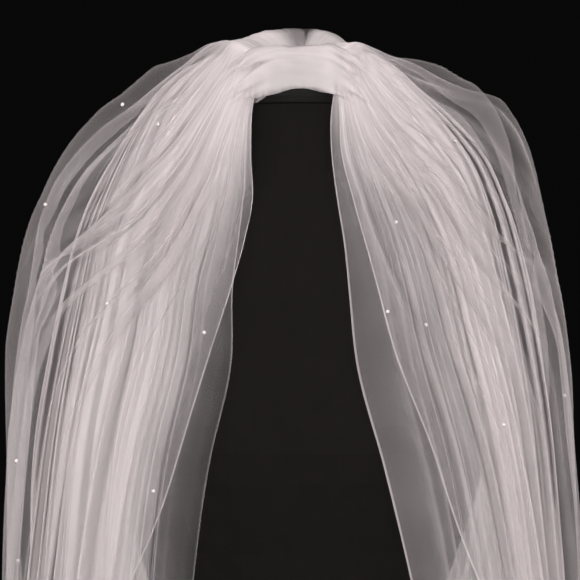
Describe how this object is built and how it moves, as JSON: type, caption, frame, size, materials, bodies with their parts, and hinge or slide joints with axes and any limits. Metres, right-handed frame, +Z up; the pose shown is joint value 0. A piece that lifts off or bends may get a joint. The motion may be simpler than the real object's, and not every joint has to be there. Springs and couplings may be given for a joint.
{
  "type": "bridal veil on a dress form",
  "caption": "Gathered tulle bridal veil in tiers, puffed out from a comb on the neck of a black limbless dress form with a pole and a round base.",
  "frame": {"origin": "centre of the round base's underside, on the floor under the pole's axis", "axes": "+Z up along the pole; the veil opens at the front, which faces -Y; +X is the form's left, which is the right of a front view"},
  "size_m": [0.5472, 0.4123, 1.4877],
  "materials": {
    "tulle": "matte",
    "pearl": "gloss",
    "comb_plastic": "satin",
    "jersey": "matte",
    "cap_lacquer": "satin",
    "black_steel": "satin"
  },
  "bodies": {
    "root": {"veil_lower_tier": "tulle", "veil_upper_tier": "tulle", "comb": "comb_plastic", "form_torso": "jersey", "form_neck_cap": "cap_lacquer", "form_pole": "black_steel", "form_base": "black_steel"}
  },
  "joints": []
}
